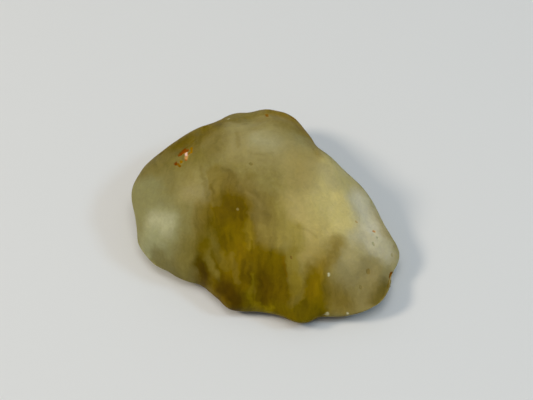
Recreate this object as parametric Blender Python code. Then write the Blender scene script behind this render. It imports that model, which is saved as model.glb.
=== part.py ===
"""Raw Libyan desert glass: one wind-worn lump of natural silica glass, lying on its flat foot.

A ball of even facets is pulled out to the stone's girth, its widest line, and up and down to a crown
and a belly, each the rounded meeting of a few sloping planes. Lumps, hollows, crests and flutes are
raised on that skin or sunk in it, and what would lie below the floor is worn off flat, as the foot.
Lengths are in millimetres until the last step. X runs along the stone, and Z is up from the floor.
"""

import math
import random

import bmesh
import bpy
from mathutils import Vector, noise
from mathutils.geometry import intersect_point_line

METRES_PER_MM = 0.001
CELLS_PER_SIDE = 28  # facets along each side of the six-sided ball

# The girth, anticlockwise from the right tip: x, y and height above the floor.
GIRTH = (
    (20.2, -6.1, 3.4),
    (18.4, -2.1, 4.4),
    (16.8, 1.5, 4.6),
    (14.3, 5.2, 4.8),
    (11.4, 7.9, 5.6),
    (8.2, 10.3, 6.0),
    (6.9, 13.6, 5.6),
    (4.4, 17.9, 5.6),
    (0.6, 19.0, 6.0),
    (-2.0, 18.2, 6.4),
    (-5.2, 18.2, 6.2),
    (-8.3, 16.1, 5.8),
    (-11.3, 14.7, 5.6),
    (-13.8, 13.0, 5.6),
    (-16.6, 10.7, 5.6),
    (-18.8, 8.2, 5.6),
    (-20.0, 4.6, 5.8),
    (-20.1, 2.1, 6.0),
    (-19.6, -1.4, 4.8),
    (-19.4, -3.8, 3.2),
    (-17.5, -6.8, 2.6),
    (-14.4, -9.3, 2.4),
    (-9.7, -10.6, 2.2),
    (-7.4, -12.7, 2.2),
    (-5.3, -14.7, 2.6),
    (-1.7, -14.9, 2.4),
    (1.8, -16.0, 2.8),
    (5.4, -17.2, 2.6),
    (8.5, -15.8, 2.4),
    (12.9, -15.9, 2.8),
    (16.3, -14.8, 3.4),
    (18.0, -12.7, 3.6),
    (19.0, -9.2, 3.2),
)
GIRTH_CENTRE = Vector((0.0, -1.0))

# Sloping planes that meet on top: height over the plan's centre, then the slopes along x and y.
CROWN = (
    (13.8, 0.08, 0.04),
    (14.2, -0.06, 0.60),
    (15.6, -0.44, 0.30),
    (15.8, 0.24, 0.40),
    (16.4, 0.38, -0.04),
    (17.6, 0.02, -0.44),
)
CROWN_SOFTNESS = 0.9  # how far the corners between the planes are rounded
CROWN_FULLNESS = (4.4, 0.45)  # powers of the curve from the crown out to the girth

# Planes that meet underneath. The first one is the foot, which the floor wears flat.
BELLY = (
    (-0.9, 0.00, 0.00),
    (-3.0, -0.29, 0.03),
    (-3.8, 0.00, 0.30),
    (-4.7, 0.28, -0.02),
)
BELLY_SOFTNESS = 0.8
BELLY_FULLNESS = (4.4, 0.46)

# Broad relief on the upper side: start and end in plan, half width, and rise (below 0 a hollow).
UPPER_RELIEF = (
    ((-15.2, -3.0), (-15.8, -4.5), 3.0, 0.4),  # swell of the left lobe
    ((-10.8, 2.5), (-9.4, -3.5), 2.0, 0.1),  # low crest between the left lobe and the front
    ((-6.8, -6.5), (-6.2, -10.5), 2.4, 0.3),  # shoulder of the front face, above the nick
    ((-4.4, -4.9), (-3.4, -9.1), 3.0, -0.1),  # dish at the head of the front face
    ((-2.0, -11.3), (-1.7, -14.3), 0.9, 0.3),  # rib left standing beside a flake scar
    ((-5.2, -12.5), (-4.0, -13.7), 1.8, -0.3),  # the scar
    ((3.8, -7.1), (9.0, -9.3), 1.0, 0.2),  # small ledge across the front
    ((3.6, -9.3), (9.2, -11.5), 2.0, -0.25),  # hollow under the ledge
    ((5.2, -15.5), (5.8, -14.5), 2.6, 0.4),  # swell over the lowest point of the front
    ((13.2, -12.1), (15.2, -10.5), 2.8, -0.6),  # hollow of the right foot
    ((11.2, -6.5), (17.0, -9.5), 1.8, 0.4),  # crest running out to the right tip
    ((13.0, 2.1), (15.4, -2.1), 1.9, -0.3),  # long flute inside the right edge
    ((9.2, 5.3), (12.6, -0.4), 1.8, 0.3),  # crest beside that flute
    ((8.2, 7.9), (4.6, 1.9), 2.8, -0.4),  # valley running in from the waist of the girth
    ((0.2, 12.5), (3.2, 11.5), 3.6, 0.4),  # swell of the back shoulder
    ((-6.4, 8.9), (-9.4, 6.5), 3.4, 0.4),  # swell of the upper left
    ((-4.0, 2.9), (0.8, -0.1), 3.0, -0.2),  # shallow pan on the crown
    ((-12.8, 9.5), (-11.4, 7.3), 1.3, -0.4),  # flutes across the upper left edge
    ((-9.6, 11.7), (-8.6, 9.5), 1.3, -0.4),
    ((-2.2, 14.9), (-1.8, 12.9), 1.2, -0.2),
    ((-17.2, 5.1), (-15.8, 3.9), 1.4, -0.4),
    ((-12.0, 4.4), (-11.4, 5.6), 0.9, -0.3),  # pit that holds the red clay
    ((18.2, -10.6), (18.6, -9.4), 1.2, -0.4),  # chipped nick below the right tip
)

# The same underneath.
LOWER_RELIEF = (
    ((-13.8, 0.5), (-12.8, -4.5), 3.0, -0.6),  # hollow that keeps the left lobe off the floor
    ((-3.8, 10.5), (5.2, 11.1), 2.8, -0.6),  # hollow below the back shoulder
    ((-10.8, 6.5), (-7.8, 4.5), 2.4, 0.5),
    ((12.2, 2.5), (14.2, -1.5), 2.4, -0.4),
    ((14.2, -9.5), (14.6, -11.5), 2.2, -0.4),
    ((-5.8, -10.1), (-3.8, -8.5), 2.2, -0.5),
)

# A slow unevenness of the whole skin.
SWELL_SPACING = 7.0
SWELL_RISE = 0.55

# Wind-worn dimples all over.
DIMPLE_COUNT = 70
DIMPLE_RADII = (1.5, 3.2)
DIMPLE_DEPTH = 0.085  # share of the radius
DIMPLE_SEED = 29

BELL_REACH = 2.6  # half widths, past which a bell-shaped swell has died away


def soft_minimum(values, softness):
    """The least of the values, with the corners between them rounded off."""
    least = min(values)
    total = sum(math.exp((least - value) / softness) for value in values)
    return least - softness * math.log(total)


def soft_maximum(values, softness):
    return -soft_minimum([-value for value in values], softness)


def between(before, start, end, after, share):
    """Catmull-Rom curve through four values, from start at share 0 to end at share 1."""
    slope_in = (end - before) / 2
    slope_out = (after - start) / 2
    square, cube = share**2, share**3
    return (
        start * (2 * cube - 3 * square + 1)
        + slope_in * (cube - 2 * square + share)
        + end * (3 * square - 2 * cube)
        + slope_out * (cube - square)
    )


def polar_girth():
    """The girth as (angle, radius, height) about its centre, in order of angle."""
    turned = []
    for x, y, height in GIRTH:
        arm = Vector((x, y)) - GIRTH_CENTRE
        turned.append((math.atan2(arm.y, arm.x) % math.tau, arm.length, height))
    return sorted(turned)


POLAR_GIRTH = polar_girth()


def girth_at(angle):
    """Radius and height of the girth at an angle, on a smooth closed curve through its points."""
    angle %= math.tau
    count = len(POLAR_GIRTH)
    after = next((i for i, point in enumerate(POLAR_GIRTH) if point[0] > angle), 0)
    four = [POLAR_GIRTH[(after + step) % count] for step in (-2, -1, 0, 1)]
    span = (four[2][0] - four[1][0]) % math.tau
    share = ((angle - four[1][0]) % math.tau) / span
    radius = between(*[point[1] for point in four], share)
    height = between(*[point[2] for point in four], share)
    return radius, height


def slopes(planes, x, y):
    return [height + along_x * x + along_y * y for height, along_x, along_y in planes]


def skin_point(angle, share, under):
    """The plain skin at an angle, and at a share of the way out from the centre to the girth."""
    radius, girth_height = girth_at(angle)
    x = GIRTH_CENTRE.x + share * radius * math.cos(angle)
    y = GIRTH_CENTRE.y + share * radius * math.sin(angle)
    if under:
        middle = soft_maximum(slopes(BELLY, x, y), BELLY_SOFTNESS)
        curve, squareness = BELLY_FULLNESS
    else:
        middle = soft_minimum(slopes(CROWN, x, y), CROWN_SOFTNESS)
        curve, squareness = CROWN_FULLNESS
    inward = max(1 - share**curve, 0.0) ** squareness
    return Vector((x, y, girth_height + (middle - girth_height) * inward))


def even_ball():
    """A ball of near-equal facets: a cube, cut into cells and blown out to a unit radius."""
    ball = bmesh.new()
    bmesh.ops.create_cube(ball, size=2.0)
    bmesh.ops.subdivide_edges(
        ball, edges=ball.edges[:], cuts=CELLS_PER_SIDE - 1, use_grid_fill=True
    )
    for vertex in ball.verts:
        even = [math.tan(side * math.pi / 4) for side in vertex.co]
        vertex.co = Vector(even).normalized()
    return ball


def pull_to_skin(ball):
    for vertex in ball.verts:
        x, y, z = vertex.co
        share = min(math.hypot(x, y), 1.0)
        vertex.co = skin_point(math.atan2(y, x), share, z < 0)
    bmesh.ops.recalc_face_normals(ball, faces=ball.faces[:])


def skin_over(x, y, under):
    """The plain skin straight above or below a point of the plan."""
    arm = Vector((x, y)) - GIRTH_CENTRE
    angle = math.atan2(arm.y, arm.x)
    radius, _ = girth_at(angle)
    return skin_point(angle, min(arm.length / radius, 1.0), under)


def raise_along(vertices, start, end, facing, half_width, rise):
    """Lift the skin along a line by a bell-shaped swell, or sink it where the rise is below 0.

    Only skin that looks the same way as the line takes part, so a thin edge keeps its far side.
    """
    for vertex in vertices:
        near, share = intersect_point_line(vertex.co, start, end)
        near = start if share < 0 else end if share > 1 else near
        away = (vertex.co - near).length / half_width
        alike = vertex.normal.dot(facing)
        if away < BELL_REACH and alike > 0:
            vertex.co += vertex.normal * rise * alike * math.exp(-away * away)


def carve_relief(ball):
    for relief, under in ((UPPER_RELIEF, False), (LOWER_RELIEF, True)):
        for start, end, half_width, rise in relief:
            ball.normal_update()
            low, high = skin_over(*start, under), skin_over(*end, under)
            middle = (low + high) / 2
            closest = min(ball.verts, key=lambda vertex: (vertex.co - middle).length)
            raise_along(ball.verts, low, high, closest.normal.copy(), half_width, rise)


def swell_unevenly(ball):
    ball.normal_update()
    for vertex in ball.verts:
        vertex.co += vertex.normal * SWELL_RISE * noise.noise(vertex.co / SWELL_SPACING)


def wear_dimples(ball):
    chance = random.Random(DIMPLE_SEED)
    ball.normal_update()
    ball.verts.ensure_lookup_table()
    for _ in range(DIMPLE_COUNT):
        vertex = ball.verts[chance.randrange(len(ball.verts))]
        centre = vertex.co.copy()
        radius = chance.uniform(*DIMPLE_RADII)
        depth = DIMPLE_DEPTH * radius
        raise_along(ball.verts, centre, centre, vertex.normal.copy(), radius, -depth)


def wear_foot(ball):
    """The floor's plane is the lowest that the glass reaches."""
    for vertex in ball.verts:
        vertex.co.z = max(vertex.co.z, 0.0)


def centre_on_origin(ball):
    """Half of the length and half of the depth lie on each side of the origin."""
    for axis in (0, 1):
        sides = [vertex.co[axis] for vertex in ball.verts]
        middle = (min(sides) + max(sides)) / 2
        for vertex in ball.verts:
            vertex.co[axis] -= middle


def glass_material():
    material = bpy.data.materials.new("desert_glass")
    material.use_nodes = True
    finish = material.node_tree.nodes["Principled BSDF"]
    finish.inputs["Base Color"].default_value = (0.42, 0.37, 0.13, 1.0)
    finish.inputs["Roughness"].default_value = 0.45
    finish.inputs["Metallic"].default_value = 0.0
    finish.inputs["IOR"].default_value = 1.462
    finish.inputs["Transmission Weight"].default_value = 0.7
    return material


def main():
    for old in list(bpy.data.objects):
        bpy.data.objects.remove(old)
    ball = even_ball()
    pull_to_skin(ball)
    carve_relief(ball)
    swell_unevenly(ball)
    wear_dimples(ball)
    wear_foot(ball)
    centre_on_origin(ball)
    bmesh.ops.scale(ball, vec=(METRES_PER_MM,) * 3, verts=ball.verts[:])
    mesh = bpy.data.meshes.new("glass_lump")
    ball.to_mesh(mesh)
    ball.free()
    mesh.shade_smooth()
    mesh.materials.append(glass_material())
    lump = bpy.data.objects.new("glass_lump", mesh)
    stone = bpy.data.collections.new("raw_libyan_desert_glass")
    bpy.context.scene.collection.children.link(stone)
    stone.objects.link(lump)


main()
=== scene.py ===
"""Raw Libyan desert glass: the finish of one wind-worn lump, on a plain pale floor in soft light."""

import math

import bmesh
import bpy
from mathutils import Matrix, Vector, noise


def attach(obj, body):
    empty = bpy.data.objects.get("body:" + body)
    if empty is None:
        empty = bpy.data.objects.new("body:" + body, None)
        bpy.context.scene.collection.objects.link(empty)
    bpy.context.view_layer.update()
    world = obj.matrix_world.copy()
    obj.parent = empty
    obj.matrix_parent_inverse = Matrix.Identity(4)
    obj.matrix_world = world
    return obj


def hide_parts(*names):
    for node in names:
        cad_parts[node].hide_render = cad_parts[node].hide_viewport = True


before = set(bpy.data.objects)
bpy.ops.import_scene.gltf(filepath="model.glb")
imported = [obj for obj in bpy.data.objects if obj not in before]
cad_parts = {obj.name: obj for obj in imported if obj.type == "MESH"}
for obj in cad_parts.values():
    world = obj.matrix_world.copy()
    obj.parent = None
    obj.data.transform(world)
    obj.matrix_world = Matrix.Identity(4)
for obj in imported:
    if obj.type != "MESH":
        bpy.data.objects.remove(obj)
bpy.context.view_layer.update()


# The camera looks down on the lump from the front at the photograph's angle, from about five lengths
# away. The lump fills half of the frame's width and stands a little below its middle.
scene = bpy.context.scene
MM = 0.001
VIEW_ELEVATION = math.radians(55)
LENS, SENSOR = 85, 36
FRAME_WIDTH = 79.6 * MM
LUMP_MIDDLE = Vector((0.34, -2.25, 7.0)) * MM
RISE_IN_FRAME = 2.20 * MM

to_camera = Vector((0, -math.cos(VIEW_ELEVATION), math.sin(VIEW_ELEVATION)))
up_in_frame = Vector((0, math.sin(VIEW_ELEVATION), math.cos(VIEW_ELEVATION)))
camera = bpy.data.objects.new("camera", bpy.data.cameras.new("camera"))
camera.data.lens = LENS
camera.data.sensor_width = SENSOR
camera.data.clip_start = 1 * MM
aim = LUMP_MIDDLE + up_in_frame * RISE_IN_FRAME
camera.location = aim + to_camera * (FRAME_WIDTH * LENS / SENSOR)
camera.rotation_euler = (math.pi / 2 - VIEW_ELEVATION, 0, 0)
scene.collection.objects.link(camera)
scene.camera = camera


# The lump: natural silica glass that fell as melt in the desert and has been blasted by sand since.
# Its skin is the solid's own form, rounded between the facets and worn with shallow dimples. Small
# pits in it are packed with red clay, or stand empty where a grain has fallen out.
glass_node = "glass_lump"
WELD_GAP = 0.002 * MM
FLAT_ENOUGH, SQUARE_ENOUGH = math.radians(30), math.radians(60)
ROUNDING_LEVELS = 2

# The marks on the skin, each along a line in plan: its points, half its width, how deep it is sunk,
# and the colour of what fills it. The colours of the empty pits hold painted shadow, and one grain
# in the clay carries a painted highlight.
MARKS_AND_PAINTED_LIGHT = (
    # red clay in a group of pits on the left shoulder, round one pale grain with a painted highlight on it
    (((-12.75, 6.3), (-12.4, 6.75), (-12.05, 7.2), (-11.75, 7.0)), 0.42, 0.16, "#8C4400"),
    (((-12.75, 6.6), (-12.45, 7.05), (-12.1, 7.5)), 0.26, 0.16, "#864400"),
    (((-12.2, 6.6), (-11.9, 6.65)), 0.22, 0.08, "#C07818"),
    (((-11.0, 7.3), (-10.95, 6.2)), 0.24, 0.10, "#987000"),
    (((-11.5, 6.0), (-11.2, 6.3)), 0.26, 0.08, "#A07414"),
    (((-11.72, 5.8), (-11.72, 5.1)), 0.34, 0.04, "#CC9858"),
    # the painted highlight on the grain
    (((-11.8, 6.45), (-11.72, 5.9)), 0.22, 0.02, "#F0C8B4"),
    (((-11.8, 4.95), (-11.7, 4.85)), 0.18, 0.06, "#B46C2C"),
    (((-13.3, 4.6), (-13.2, 4.35)), 0.36, 0.16, "#7C3E00"),
    (((-13.0, 4.4), (-12.6, 3.85)), 0.28, 0.12, "#865C00"),
    (((-12.5, 4.8), (-12.4, 4.55)), 0.28, 0.12, "#9C7400"),
    # rust in single pits, and along a chipped edge
    (((0.35, 14.9), (0.45, 14.1)), 0.30, 0.08, "#945E0C"),
    (((13.6, -4.1), (13.7, -4.1)), 0.20, 0.03, "#CCB070"),
    (((16.25, -4.8), (16.4, -4.8)), 0.22, 0.05, "#D4A064"),
    (((18.9, -10.2), (18.75, -10.8)), 0.36, 0.12, "#8E5A14"),
    (((18.7, -11.4), (18.3, -12.4)), 0.26, 0.10, "#7E6400"),
    # white grains of cristobalite, and chips on the lower edge
    (((9.4, -12.1), (9.4, -12.25)), 0.22, 0.02, "#CECEAE"),
    (((-3.9, -4.4), (-3.8, -4.5)), 0.16, 0.02, "#96884C"),
    (((12.1, -16.8), (12.2, -16.9)), 0.20, 0.04, "#C6C4A4"),
    (((8.6, -17.1), (9.3, -16.8)), 0.20, 0.06, "#C0BA90"),
    # empty pits, coloured with painted shadow and with dust
    (((15.3, -10.7), (15.3, -10.8)), 0.40, 0.05, "#928044"),
    (((14.1, -13.0), (14.2, -13.1)), 0.30, 0.05, "#90824A"),
    (((16.8, -5.7), (16.8, -5.8)), 0.20, 0.04, "#C0BA8E"),
    (((16.1, -6.8), (16.2, -7.0)), 0.26, 0.05, "#BCB68A"),
    (((19.4, -6.15), (19.4, -6.3)), 0.22, 0.04, "#B4A278"),
    (((19.0, -7.6), (19.0, -7.75)), 0.22, 0.03, "#B2A678"),
    (((3.9, -10.3), (3.95, -10.4)), 0.20, 0.06, "#8A7030"),
    (((-2.0, 2.7), (-1.9, 2.6)), 0.32, 0.05, "#8A7E46"),
    # the same on the back slope: pits, one with clay left in it, and a white grain
    (((-15.9, 8.3), (-15.7, 8.6)), 0.34, 0.10, "#6E6232"),
    (((-9.3, 12.3), (-9.0, 12.5)), 0.30, 0.10, "#70621E"),
    (((4.4, 15.2), (4.7, 15.0)), 0.34, 0.12, "#8A5210"),
    (((7.8, 11.0), (8.0, 10.7)), 0.26, 0.08, "#7C6A2A"),
    (((-5.6, 14.3), (-5.5, 14.4)), 0.22, 0.03, "#BCB894"),
    (((12.8, 4.6), (12.9, 4.4)), 0.28, 0.08, "#9A8A52"),
)
# The mesh is cut finer on the marks and this far round them.
MARK_ROOM = 0.2
FINER_CUTS = 2


def linear(hex_colour):
    """An sRGB hex colour as linear red, green, blue and alpha."""
    parts = [int(hex_colour[i:i + 2], 16) / 255 for i in (1, 3, 5)]
    return [(p / 12.92 if p <= 0.04045 else ((p + 0.055) / 1.055) ** 2.4) for p in parts] + [1.0]


def gap_in_plan(spot, points):
    """The distance in plan, in millimetres, from a spot to a line of points."""
    gaps = []
    for start, end in zip(points, points[1:]):
        start, end = Vector(start), Vector(end)
        run = end - start
        along = max(0, min(1, (spot - start).dot(run) / run.length_squared))
        gaps.append((spot - start - run * along).length)
    return min(gaps)


worn = bpy.data.meshes.new("worn_glass")
skin = bmesh.new()
skin.from_mesh(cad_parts[glass_node].data)
bmesh.ops.remove_doubles(skin, verts=skin.verts[:], dist=WELD_GAP)
bmesh.ops.join_triangles(skin, faces=skin.faces[:], angle_face_threshold=FLAT_ENOUGH,
                         angle_shape_threshold=SQUARE_ENOUGH)
marked_edges = set()
for face in skin.faces:
    if face.normal.z > 0:
        spots = [corner.co.xy / MM for corner in face.verts] + [face.calc_center_median().xy / MM]
        if any(gap_in_plan(spot, points) < half_width + MARK_ROOM
               for points, half_width, *_ in MARKS_AND_PAINTED_LIGHT for spot in spots):
            marked_edges.update(face.edges)
marked_edges = sorted(marked_edges, key=lambda edge: edge.index)
bmesh.ops.subdivide_edges(skin, edges=marked_edges, cuts=FINER_CUTS, use_grid_fill=True)
skin.to_mesh(worn)
skin.free()
lump = bpy.data.objects.new("worn_glass", worn)
scene.collection.objects.link(lump)
rounding = lump.modifiers.new("rounding", "SUBSURF")
rounding.levels = rounding.render_levels = ROUNDING_LEVELS


def add(kind, links=None, **settings):
    """A node with its settings, in the tree being built; an input is set or linked by name or number."""
    node = tree.nodes.new(kind)
    for name, value in settings.items():
        setattr(node, name, value)
    for name, value in (links or {}).items():
        named = [i for i in node.inputs if i.enabled and i.name == name]
        socket = named[0] if named else node.inputs[name]
        if isinstance(value, bpy.types.NodeSocket):
            tree.links.new(value, socket)
        else:
            socket.default_value = value
    return node


# Blown sand wears glass into shallow round dimples. One tree spreads points evenly over the skin and
# sinks a dimple at each, smaller or larger than the size given by a share that is random for each.
# Broad and fine wear are the same tree with other sizes.
SMALLEST_DIMPLE, LARGEST_DIMPLE = 0.5, 1.3
INPUTS = {"Spacing": "Float", "Radius": "Float", "Depth": "Float", "Seed": "Int", "Glass": "Material"}
glass = bpy.data.materials.new("sand_blasted_silica_glass")
tree = bpy.data.node_groups.new("sand_worn_dimples", "GeometryNodeTree")
tree.interface.new_socket("Geometry", in_out="INPUT", socket_type="NodeSocketGeometry")
for name, kind in INPUTS.items():
    tree.interface.new_socket(name, in_out="INPUT", socket_type="NodeSocket" + kind)
tree.interface.new_socket("Geometry", in_out="OUTPUT", socket_type="NodeSocketGeometry")
given = add("NodeGroupInput").outputs
one_a_square = add("ShaderNodeMath", {0: given["Spacing"], 1: -2.0}, operation="POWER").outputs[0]
hits = add("GeometryNodeDistributePointsOnFaces", {
    "Mesh": given["Geometry"],
    "Distance Min": given["Spacing"],
    "Density Max": one_a_square,
    "Seed": given["Seed"],
}, distribute_method="POISSON").outputs["Points"]
which = add("GeometryNodeSampleNearest", {"Geometry": hits}).outputs["Index"]
size = add("FunctionNodeRandomValue", {
    "Min": SMALLEST_DIMPLE,
    "Max": LARGEST_DIMPLE,
    "ID": which,
    "Seed": given["Seed"],
}, data_type="FLOAT").outputs[1]
gap = add("GeometryNodeProximity", {0: hits}, target_element="POINTS").outputs["Distance"]
radius = add("ShaderNodeMath", {0: given["Radius"], 1: size}, operation="MULTIPLY").outputs[0]
depth = add("ShaderNodeMath", {0: given["Depth"], 1: size}, operation="MULTIPLY").outputs[0]
sunk = add("ShaderNodeMapRange", {"Value": gap, 1: radius, 2: 0.0, 4: depth},
           interpolation_type="SMOOTHSTEP").outputs[0]
inwards = add("ShaderNodeVectorMath", {0: add("GeometryNodeInputNormal").outputs[0], 1: (-1, -1, -1)},
              operation="MULTIPLY").outputs[0]
inwards = add("ShaderNodeVectorMath", {0: inwards, "Scale": sunk}, operation="SCALE").outputs[0]
dimpled = add("GeometryNodeSetPosition", {"Geometry": given["Geometry"], "Offset": inwards}).outputs[0]
dimpled = add("GeometryNodeRealizeInstances", {0: dimpled}).outputs[0]
dimpled = add("GeometryNodeSetMaterial", {"Geometry": dimpled, "Material": given["Glass"]}).outputs[0]
add("NodeGroupOutput", {0: dimpled})

WEAR = {
    "broad": {"Spacing": 3.0 * MM, "Radius": 1.9 * MM, "Depth": 0.07 * MM, "Seed": 4, "Glass": glass},
    "fine": {"Spacing": 1.1 * MM, "Radius": 0.6 * MM, "Depth": 0.022 * MM, "Seed": 9, "Glass": glass},
}
sockets = {item.name: item.identifier for item in tree.interface.items_tree if item.in_out == "INPUT"}
for name, sizes in WEAR.items():
    wear = lump.modifiers.new(name, "NODES")
    wear.node_group = tree
    for socket, value in sizes.items():
        wear[sockets[socket]] = value
finished = bpy.data.meshes.new_from_object(lump.evaluated_get(bpy.context.evaluated_depsgraph_get()))
lump.modifiers.clear()
lump.data = finished

# The marks are sunk into the skin and stained; the empty pits carry painted shadow and one grain a
# painted highlight. A mark's outline and how deep its colour is wander a little, the same way on each
# run. The stain and the painted light are kept on the mesh with their share as alpha, so colour and
# hollow fit each other.
OUTLINE_SPACING, OUTLINE_WANDER = 0.35, 0.08
STAIN_WANDER = 0.2
SOFT_EDGE = 0.45
MARK_SEED = 3
noise.seed_set(MARK_SEED)
stain_and_painted_light = finished.color_attributes.new("stain_and_painted_light", "FLOAT_COLOR", "POINT")
stain_and_painted_light.data.foreach_set("color", [0.0] * 4 * len(finished.vertices))
outwards = [normal.vector.copy() for normal in finished.vertex_normals]
for corner, up in zip(finished.vertices, outwards):
    if up.z <= 0:
        continue
    place = corner.co / MM
    drift = noise.noise_vector(place / OUTLINE_SPACING)
    spot = place.xy + drift.xy * OUTLINE_WANDER
    paint, deepest = Vector((0, 0, 0, 0)), 0
    for points, half_width, depth, tint in MARKS_AND_PAINTED_LIGHT:
        share = (1 - gap_in_plan(spot, points) / half_width) / SOFT_EDGE
        if share > 0:
            share = min(share, 1)
            share *= share * (3 - 2 * share)
            paint = paint.lerp(Vector(linear(tint)) * (1 + STAIN_WANDER * drift.z), share)
            deepest = max(deepest, share * depth)
    if deepest:
        stain_and_painted_light.data[corner.index].color = paint
        corner.co -= up * deepest * MM
finished.shade_smooth()

# Libyan desert glass is nearly pure silica glass. Sand has blasted its skin to a satin that mirrors
# nothing: the light goes in, glows pale in the frost, and turns deep olive where the glass is clear.
glass.use_nodes = True
tree = glass.node_tree
tree.nodes.clear()

# Every place in the glass is read in millimetres from the lump's own coordinates, and moved a little
# by noise at three sizes (spacing, reach), so that the clouds have wisps and not edges.
WANDERS = ((4.5, 0.9), (1.3, 0.45), (0.5, 0.2))
NOISE_MIDDLE = (0.5, 0.5, 0.5)
place = add("ShaderNodeVectorMath", {0: add("ShaderNodeTexCoord").outputs["Object"], "Scale": 1 / MM},
            operation="SCALE").outputs[0]
wandered = place
for spacing, reach in WANDERS:
    drift = add("ShaderNodeTexNoise", {"Vector": place, "Scale": 1 / spacing, "Detail": 1.0})
    drift = drift.outputs["Color"]
    drift = add("ShaderNodeVectorMath", {0: drift, 1: NOISE_MIDDLE}, operation="SUBTRACT").outputs[0]
    wandered = add("ShaderNodeVectorMath", {0: drift, 1: (reach * 2,) * 3, 2: wandered},
                   operation="MULTIPLY_ADD").outputs[0]
plan = add("ShaderNodeVectorMath", {0: wandered, 1: (1, 1, 0)}, operation="MULTIPLY").outputs[0]

# The body of the glass: two olives that run into each other.
BODY_SPACING = 3.2
BODY_OLIVE, BODY_PALE = "#978A4C", "#A79B60"
OLIVE_BELOW, PALE_ABOVE = 0.35, 0.65
body = add("ShaderNodeTexNoise", {"Vector": place, "Scale": 1 / BODY_SPACING, "Detail": 4.0}).outputs[0]
body = add("ShaderNodeMapRange", {"Value": body, 1: OLIVE_BELOW, 2: PALE_ABOVE}).outputs[0]
colour = add("ShaderNodeMix", {"Factor": body, "A": linear(BODY_OLIVE), "B": linear(BODY_PALE)},
             data_type="RGBA").outputs["Result"]
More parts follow.
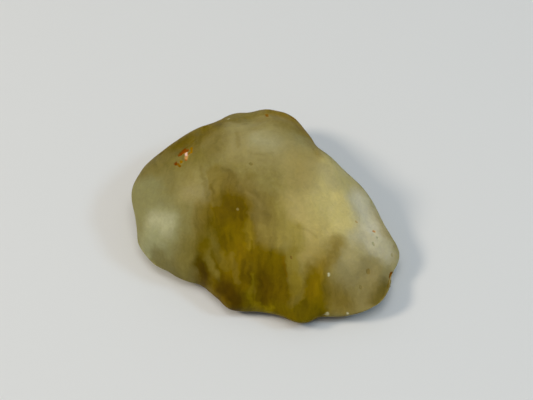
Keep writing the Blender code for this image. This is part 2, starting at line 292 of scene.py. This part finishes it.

# The clouds and wisps of colour in the glass, each along a line in plan: the line's points, how far
# from it the colour is full, how far it reaches, how much of it there is, and the colour. The table
# was written by a program: most lines were drawn as pixels of the photo and turned to millimetres,
# and the colours were matched to base colours worked out from the photo.
# Some lines paint light and shade, not the glass's colour: a glow, highlights and a reflection on the
# frost, and shade along edges and the outline; each is named below.
CLOUDS_AND_PAINTED_LIGHT = (
    # broad washes: left lobe, left shoulder, crown, a painted glow, right end, heart
    (((-18.7, 2.0), (-15.6, -6.8)), 1.5, 7.5, 1.00, "#969364"),
    (((-16.5, 6.9), (-9.0, 5.5)), 0.3, 5.0, 0.90, "#867A3C"),
    (((-3.6, 7.0), (4.2, 5.0)), 0.5, 6.5, 1.00, "#ACA06A"),
    # painted light: the glow of the left lamp's light passing through the lump to its right end
    (((9.4, 0.2), (10.3, -2.1), (11.2, -5.2)), 0.8, 8.2, 1.00, "#E5D58C"),
    (((6.7, -7.8), (7.3, -9.5)), 0.4, 5.0, 0.80, "#C6B268"),
    (((4.4, -3.9), (5.2, -7.1)), 0.2, 3.4, 0.70, "#CEBD7C"),
    (((12.6, -9.8), (17.7, -8.3)), 0.6, 5.0, 1.00, "#B6AA76"),
    (((12.9, -12.5), (16.2, -11.3)), 0.5, 4.4, 1.00, "#A99B67"),
    (((12.8, -15.1), (15.2, -14.6)), 0.4, 3.6, 1.00, "#9E905A"),
    (((9.0, -14.5), (11.3, -15.0)), 0.3, 3.4, 0.90, "#8C7834"),
    (((-4.5, -4.6), (-4.9, -13.5)), 1.6, 6.4, 1.00, "#7E6600"),
    (((-8.3, -6.9), (-8.7, -10.4)), 0.4, 3.4, 1.00, "#7E6E28"),
    (((0.3, -11.2), (1.8, -14.7)), 1.4, 4.2, 1.00, "#786200"),
    (((7.0, -13.1), (7.0, -16.2)), 0.4, 3.2, 1.00, "#816C06"),
    (((-2.8, -15.9), (3.8, -17.6), (7.8, -16.8)), 0.4, 2.4, 1.00, "#746200"),
    (((0.4, -4.1), (0.9, -7.4)), 0.6, 3.2, 0.70, "#94803C"),
    (((2.6, -4.5), (2.5, -9.6)), 0.3, 2.4, 0.60, "#B0A054"),
    (((6.9, -3.6), (7.3, -5.8)), 0.3, 3.0, 0.60, "#D8C880"),
    (((4.6, -7.1), (4.9, -8.9)), 0.4, 2.2, 0.80, "#AC9C4C"),
    # painted shade: a dark margin along the back edge, and thin ones at the left and right, for the dark
    # outline that thick glass shows at a slant
    (((-19.0, 6.5), (-13.5, 9.6)), 0.3, 4.0, 1.00, "#7F7440"),
    (((-13.5, 9.6), (-8.0, 12.0), (-4.0, 16.0)), 0.6, 4.3, 1.00, "#786614"),
    (((-4.0, 16.4), (2.5, 17.0)), 0.8, 5.0, 1.00, "#8A7C3C"),
    (((2.5, 17.0), (7.4, 11.6)), 0.8, 4.4, 1.00, "#957A16"),
    (((7.0, 12.0), (9.6, 9.8)), 0.2, 2.4, 1.00, "#9A7C24"),
    (((-20.6, 4.0), (-20.2, -0.5)), 0.2, 1.1, 0.20, "#8C8248"),
    # frost on the right end's rim, with the right lamp's sheen painted into it
    (((10.1, 3.2), (12.4, 3.8), (14.2, 1.9)), 0.1, 2.2, 0.50, "#D6C78C"),
    (((14.4, -0.5), (15.2, -2.3), (16.4, -6.0)), 0.3, 3.5, 1.00, "#E6DEBA"),
    (((14.0, -6.7), (15.3, -6.9), (17.8, -7.4)), 0.2, 2.8, 0.85, "#D8D0AA"),
    (((16.8, -1.5), (18.4, -5.0)), 0.1, 1.6, 0.40, "#BCA668"),
    # crown
    # the pale veil on the crown: frost, with a painted reflection of light from above and behind
    (((-0.9, 7.0), (0.9, 6.2)), 0.0, 3.0, 0.90, "#B8B284"),
    (((-12.9, 10.3), (-10.1, 9.8)), 0.2, 3.2, 0.90, "#6E5E16"),
    (((-7.5, 5.6), (-7.1, 8.4)), 0.0, 2.6, 0.85, "#8A7C42"),
    (((-14.7, 3.8), (-13.8, 1.3)), 0.3, 2.8, 0.50, "#837840"),
    (((8.7, 2.2), (10.1, 0.9)), 0.2, 2.0, 0.60, "#BCB284"),
    (((-10.2, 11.8), (-10.1, 6.2)), 0.0, 1.2, 0.50, "#7A6C30"),
    (((-4.1, 9.7), (-3.9, 5.9)), 0.0, 0.7, 0.40, "#8C7E44"),
    (((-1.8, 4.3), (1.2, 4.3)), 0.0, 0.5, 0.25, "#8C8048"),
    (((5.6, 4.0), (5.0, -0.4)), 0.2, 3.0, 0.70, "#A6965A"),
    (((7.2, 2.8), (6.9, -0.5)), 0.2, 2.4, 0.50, "#B0A068"),
    (((-5.2, 11.8), (-3.6, 10.4)), 0.2, 1.8, 0.60, "#B0A468"),
    (((7.1, 7.7), (7.8, 5.4)), 0.1, 1.8, 0.70, "#A08A44"),
    (((-0.0, 12.7), (3.3, 10.9)), 0.2, 2.6, 0.50, "#94803A"),
    # left lobe: frost with the left lamp's highlight painted into it, and painted shade along the lower
    # rim
    (((-16.2, -4.2), (-14.4, -5.2)), 0.1, 3.1, 1.00, "#C0C098"),
    (((-16.7, -6.0), (-16.4, -7.1)), 0.1, 2.4, 0.90, "#ACAE84"),
    (((-11.7, -3.5), (-11.8, -6.0)), 0.1, 2.4, 0.60, "#8A8450"),
    (((-10.7, -1.2), (-9.2, -1.6)), 0.1, 2.9, 0.90, "#AEA26E"),
    # painted shade along the lower-left rim
    (((-16.6, -7.8), (-15.0, -9.0), (-12.4, -10.6), (-10.8, -11.1)), 0.1, 1.4, 0.75, "#7E7646"),
    (((-11.4, -8.6), (-11.7, -10.2)), 0.2, 2.8, 0.70, "#867A3C"),
    (((-0.3, -10.0), (3.2, -10.9)), 0.3, 2.3, 0.90, "#7E6800"),
    # upper end of the heart, with painted shade along the facet's edge at its left, where the lit left
    # lobe turns into the front face
    (((-9.5, 2.6), (-8.7, 0.0), (-7.9, -2.5)), 0.0, 0.6, 0.50, "#7E7038"),
    (((-7.4, 1.7), (-6.3, -2.8)), 0.9, 1.5, 0.80, "#92813F"),
    (((-6.2, 2.3), (-4.8, 0.3), (-3.5, -1.6)), 0.1, 0.9, 0.60, "#786A38"),
    (((-7.6, -0.8), (-7.0, -3.0)), 0.0, 0.5, 0.50, "#7A6628"),
    (((-5.3, -0.0), (-4.1, -2.1)), 0.3, 2.4, 0.80, "#827136"),
    (((-2.3, -1.0), (-1.2, -3.1), (-0.9, -5.1)), 0.2, 2.3, 0.60, "#8E7E48"),
    (((-5.2, -3.4), (-4.1, -4.2)), 0.3, 2.4, 0.90, "#6A5600"),
    (((-8.7, -4.6), (-9.3, -5.9)), 0.2, 2.0, 0.60, "#7E6E30"),
    (((-7.3, -5.5), (-5.8, -5.8)), 0.1, 2.2, 0.60, "#6E5A00"),
    # flames and folds in the heart
    (((-4.6, -7.1), (-3.8, -9.1)), 0.2, 2.4, 0.80, "#8E7600"),
    (((-3.2, -8.9), (-3.6, -10.0)), 0.1, 1.1, 0.70, "#92760C"),
    (((-2.5, -6.8), (-2.2, -8.7)), 0.1, 1.3, 0.80, "#A08A2C"),
    (((0.0, -7.1), (0.6, -8.5)), 0.1, 1.8, 0.70, "#A2904A"),
    (((-7.4, -8.4), (-6.5, -9.6), (-5.5, -11.2)), 0.1, 1.1, 0.40, "#98883C"),
    (((-5.8, -7.8), (-5.4, -9.4)), 0.0, 0.6, 0.50, "#6E5A00"),
    (((-8.4, -9.7), (-7.6, -10.9), (-6.7, -12.3), (-6.3, -13.6)), 0.0, 0.8, 0.80, "#94863C"),
    (((-7.6, -9.6), (-6.8, -10.9), (-6.1, -12.3)), 0.0, 0.5, 0.50, "#665200"),
    (((-4.8, -10.0), (-4.1, -11.6), (-3.8, -13.1)), 0.0, 0.9, 0.60, "#948034"),
    (((-3.2, -10.9), (-3.0, -13.2)), 0.0, 0.5, 0.50, "#6A5600"),
    (((-8.4, -8.3), (-8.7, -9.4)), 0.1, 1.0, 0.60, "#746000"),
    (((-9.2, -11.0), (-8.8, -11.8)), 0.2, 2.0, 0.95, "#564200"),
    (((-6.3, -13.6), (-5.5, -13.9), (-4.4, -15.4)), 0.3, 2.0, 0.90, "#503A00"),
    (((-0.1, -13.4), (0.2, -15.0)), 0.2, 2.2, 0.80, "#5C4600"),
    (((-2.0, -8.3), (-2.0, -12.2)), 0.0, 0.5, 0.60, "#6A5600"),
    (((-2.2, -12.0), (-2.5, -13.2)), 0.0, 0.5, 0.60, "#564400"),
    (((-1.9, -12.7), (-1.9, -14.2), (-2.4, -15.1), (-1.7, -15.7), (-0.6, -15.9), (1.5, -16.5)),
     0.0, 0.4, 0.70, "#8C7C1C"),
    # between the heart and the right end
    (((3.1, -10.2), (3.2, -12.1)), 0.0, 0.5, 0.60, "#805E00"),
    (((4.2, -10.0), (4.4, -12.6)), 0.3, 1.3, 0.80, "#A5933F"),
    (((4.4, -12.6), (4.5, -14.6)), 0.2, 1.3, 0.80, "#93802A"),
    (((6.0, -13.1), (5.9, -16.3)), 0.0, 0.7, 0.50, "#6C5A00"),
    (((4.8, -6.7), (6.4, -7.1), (8.0, -7.9)), 0.0, 0.4, 0.30, "#9C8844"),
    (((-2.6, -2.2), (-0.3, -4.2)), 0.0, 0.5, 0.40, "#A49256"),
    (((10.8, -8.0), (9.6, -10.0), (8.0, -11.9), (6.5, -14.2)), 0.1, 2.0, 0.60, "#967A14"),
    (((12.6, -9.4), (13.2, -8.5)), 0.2, 2.3, 0.70, "#CCBE84"),
    (((17.9, -12.7), (16.6, -14.9)), 0.2, 2.0, 0.90, "#70622A"),
)
for points, full, reach, strength, tint in CLOUDS_AND_PAINTED_LIGHT:
    away = None
    for start, end in zip(points, points[1:]):
        start, end = Vector((*start, 0)), Vector((*end, 0))
        run = end - start
        ahead = add("ShaderNodeVectorMath", {0: plan, 1: start}, operation="SUBTRACT").outputs[0]
        along = add("ShaderNodeVectorMath", {0: ahead, 1: run / run.length_squared},
                    operation="DOT_PRODUCT").outputs["Value"]
        along = add("ShaderNodeClamp", {"Value": along}).outputs[0]
        nearest = add("ShaderNodeVectorMath", {0: run, "Scale": along}, operation="SCALE").outputs[0]
        gap = add("ShaderNodeVectorMath", {0: ahead, 1: nearest}, operation="DISTANCE").outputs["Value"]
        if away is None:
            away = gap
        else:
            away = add("ShaderNodeMath", {0: away, 1: gap}, operation="MINIMUM").outputs[0]
    share = add("ShaderNodeMapRange", {"Value": away, 1: reach, 2: full, 4: strength},
                interpolation_type="SMOOTHSTEP").outputs[0]
    colour = add("ShaderNodeMix", {"Factor": share, "A": colour, "B": linear(tint)},
                 data_type="RGBA").outputs["Result"]

# Schlieren: paler and darker threads of melt that run from front to back (width, length, strength).
# They show where the glass is clear, and hardly under the frost, whose colour holds more blue.
THREADS = ((1.2, 6.0, 0.16), (0.5, 1.8, 0.16))
FROST_BLUE, SHOWING_IN_FROST = 0.13, 0.1
NOISE_LOW, NOISE_HIGH = 0.3, 0.7
frost = add("ShaderNodeSeparateColor", {"Color": colour}).outputs["Blue"]
clear = add("ShaderNodeMapRange", {"Value": frost, 1: FROST_BLUE, 2: 0.0, 3: SHOWING_IN_FROST, 4: 1.0})
clear = clear.outputs[0]
shade = 1.0
for width, length, strength in THREADS:
    threads = add("ShaderNodeVectorMath", {0: wandered, 1: (1 / width, 1 / length, 1 / length)},
                  operation="MULTIPLY").outputs[0]
    threads = add("ShaderNodeTexNoise", {"Vector": threads, "Scale": 1.0, "Detail": 2.5}).outputs[0]
    threads = add("ShaderNodeMapRange", {
        "Value": threads, 1: NOISE_LOW, 2: NOISE_HIGH, 3: -strength, 4: strength,
    }).outputs[0]
    shade = add("ShaderNodeMath", {0: threads, 1: clear, 2: shade}, operation="MULTIPLY_ADD").outputs[0]

# Mottle: thicker and thinner frost in patches of 1 to 2 mm, and the grain of the blasted skin
# (spacing, strength). The real grain is about 0.1 mm, too fine to show, and is drawn at 0.4 mm.
MOTTLES = ((2.2, 0.04), (0.9, 0.04), (0.4, 0.055))
for spacing, strength in MOTTLES:
    mottle = add("ShaderNodeTexNoise", {"Vector": wandered, "Scale": 1 / spacing, "Detail": 3.0})
    mottle = add("ShaderNodeMapRange", {
        "Value": mottle.outputs[0], 1: NOISE_LOW, 2: NOISE_HIGH, 3: -strength, 4: strength,
    }).outputs[0]
    shade = add("ShaderNodeMath", {0: shade, 1: mottle}, operation="ADD").outputs[0]
colour = add("ShaderNodeVectorMath", {0: colour, "Scale": shade}, operation="SCALE").outputs[0]

# The glass takes a last bit of blue, which shows only where the frost is thin.
CLEAR_LOSS = (0, 0, 0.008)
colour = add("ShaderNodeVectorMath", {0: colour, 1: CLEAR_LOSS}, operation="SUBTRACT").outputs[0]
colour = add("ShaderNodeVectorMath", {0: colour, 1: (0, 0, 0)}, operation="MAXIMUM").outputs[0]

# Painted shade: the colour is darkened, blue most, on faces turned away from upwards and to the
# front, that is on the flanks and the back slope, to paint the dark line that thick glass shows along
# its outline.
UNSHADED_FACES = (0, -0.8, 1)
EDGE_SHADE_FROM, EDGE_SHADE_TO = 0.38, -0.14
EDGE_SHADE_LOSS = (0.34, 0.42, 0.85)
facing = add("ShaderNodeVectorMath", {0: add("ShaderNodeTexCoord").outputs["Normal"], 1: UNSHADED_FACES},
             operation="DOT_PRODUCT").outputs["Value"]
edge_shade = add("ShaderNodeMapRange", {"Value": facing, 1: EDGE_SHADE_FROM, 2: EDGE_SHADE_TO, 3: 0.0, 4: 1.0},
           interpolation_type="SMOOTHSTEP").outputs[0]
edge_shade = add("ShaderNodeVectorMath", {0: EDGE_SHADE_LOSS, "Scale": edge_shade}, operation="SCALE").outputs[0]
edge_shade = add("ShaderNodeVectorMath", {0: (1, 1, 1), 1: edge_shade}, operation="SUBTRACT").outputs[0]
colour = add("ShaderNodeVectorMath", {0: colour, 1: edge_shade}, operation="MULTIPLY").outputs[0]

# What fills the marks lies over the glass. It is duller, and nothing is seen through it.
SATIN_ROUGHNESS, CLAY_ROUGHNESS = 0.56, 0.85
SATIN_CLEARNESS, CLAY_CLEARNESS = 0.17, 0.0
filling = add("ShaderNodeAttribute", attribute_name="stain_and_painted_light")
unfilled = add("ShaderNodeMath", {0: 1.0, 1: filling.outputs["Alpha"]}, operation="SUBTRACT").outputs[0]
colour = add("ShaderNodeVectorMath", {0: colour, "Scale": unfilled}, operation="SCALE").outputs[0]
colour = add("ShaderNodeVectorMath", {0: colour, 1: filling.outputs["Vector"]}, operation="ADD").outputs[0]
roughness = add("ShaderNodeMapRange", {"Value": unfilled, 3: CLAY_ROUGHNESS, 4: SATIN_ROUGHNESS})
clearness = add("ShaderNodeMapRange", {"Value": unfilled, 3: CLAY_CLEARNESS, 4: SATIN_CLEARNESS})

# Satin: the skin's finest pits are far below what a mesh can hold, so they are a bump.
PIT_SPACING, PIT_DEPTH, PIT_STRENGTH = 0.25, 0.02, 0.5
grain = add("ShaderNodeTexNoise", {"Vector": place, "Scale": 1 / PIT_SPACING, "Detail": 2.0}).outputs[0]
grain = add("ShaderNodeBump", {
    "Strength": PIT_STRENGTH, "Distance": PIT_DEPTH * MM, "Height": grain,
}).outputs[0]

# The blasted skin has hardly any gloss, and what it has is tinted by the glass. Half of what the skin
# gives back is scattered just below it, the blue least deep. What goes on into the lump is absorbed.
GLOSS, GLOSS_TINT = 0.06, "#FFEA96"
SCATTERED, SCATTER_REACH = 0.5, 0.6 * MM
SCATTER_RED, SCATTER_GREEN, SCATTER_BLUE = 1.0, 0.9, 0.45
DEEP_YELLOW, ABSORBED_A_METRE = "#E8DC50", 150.0
output = add("ShaderNodeOutputMaterial")
shader = add("ShaderNodeBsdfPrincipled", {
    "Base Color": colour,
    "Roughness": roughness.outputs[0],
    "IOR": 1.462,
    "Specular IOR Level": GLOSS,
    "Specular Tint": linear(GLOSS_TINT),
    "Transmission Weight": clearness.outputs[0],
    "Subsurface Weight": SCATTERED,
    "Subsurface Radius": (SCATTER_RED, SCATTER_GREEN, SCATTER_BLUE),
    "Subsurface Scale": SCATTER_REACH,
    "Normal": grain,
})
absorption = add("ShaderNodeVolumeAbsorption", {"Color": linear(DEEP_YELLOW), "Density": ABSORBED_A_METRE})
tree.links.new(shader.outputs[0], output.inputs["Surface"])
tree.links.new(absorption.outputs[0], output.inputs["Volume"])

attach(lump, "root")
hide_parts(glass_node)


# The floor: a wide sheet of pale card, as is laid under a small specimen. It is uncoated pulp board,
# pressed but not polished, so it takes soft shadows and mirrors nothing.
FLOOR_HALF = 1.5
BOARD_GREY, BOARD_ROUGHNESS = "#E4E7E6", 0.8
floor_mesh = bpy.data.meshes.new("floor")
corners = [(x * FLOOR_HALF, y * FLOOR_HALF, 0) for x, y in ((-1, -1), (1, -1), (1, 1), (-1, 1))]
floor_mesh.from_pydata(corners, [], [(0, 1, 2, 3)])
floor = bpy.data.objects.new("floor", floor_mesh)
scene.collection.objects.link(floor)
board = bpy.data.materials.new("matt_board")
board.use_nodes = True
board_finish = board.node_tree.nodes["Principled BSDF"].inputs
board_finish["Base Color"].default_value = linear(BOARD_GREY)
board_finish["Roughness"].default_value = BOARD_ROUGHNESS
floor_mesh.materials.append(board)


# The light: a strong warm soft box at the left, a weaker cool one at the right, and a broad white one
# almost overhead. Each is a round sheet of diffuser that faces the lump.
def soft_box(name, azimuth, elevation, distance, size, power, colour):
    """A round area light; its azimuth turns from straight behind the lump to the camera's right."""
    turn, tilt = math.radians(azimuth), math.radians(elevation)
    light = bpy.data.lights.new(name, "AREA")
    light.shape = "DISK"
    light.size = size
    light.energy = power
    light.color = linear(colour)[:3]
    lamp = bpy.data.objects.new(name, light)
    way = Vector((math.sin(turn) * math.cos(tilt), math.cos(turn) * math.cos(tilt), math.sin(tilt)))
    lamp.location = LUMP_MIDDLE + way * distance
    lamp.rotation_mode = "QUATERNION"
    lamp.rotation_quaternion = way.to_track_quat("Z", "Y")
    scene.collection.objects.link(lamp)


soft_box("warm_left", azimuth=-97, elevation=42, distance=0.8, size=0.2, power=2.68, colour="#FFEFDC")
soft_box("cool_right", azimuth=97, elevation=43, distance=0.8, size=0.17, power=1.04, colour="#C0E0FF")
soft_box("overhead", azimuth=180, elevation=80, distance=0.6, size=0.34, power=1.14, colour="#FFFFFF")

# The room: brighter behind the lump than on the camera's side, where the front faces mirror it.
ROOM_FRONT, ROOM_BACK = 0.18, 0.26
ROOM_TURN = 0.5
ROOM_WHITE = "#FBFDFF"
sky = bpy.data.worlds.new("room")
scene.world = sky
sky.use_nodes = True
tree = sky.node_tree
way = add("ShaderNodeSeparateXYZ", {0: add("ShaderNodeTexCoord").outputs["Generated"]}).outputs["Y"]
way = add("ShaderNodeMapRange", {"Value": way, 1: -ROOM_TURN, 2: ROOM_TURN, 3: ROOM_FRONT, 4: ROOM_BACK},
          interpolation_type="SMOOTHSTEP").outputs[0]
room = tree.nodes["Background"]
room.inputs["Color"].default_value = linear(ROOM_WHITE)
tree.links.new(way, room.inputs["Strength"])
scene.view_settings.view_transform = "Standard"
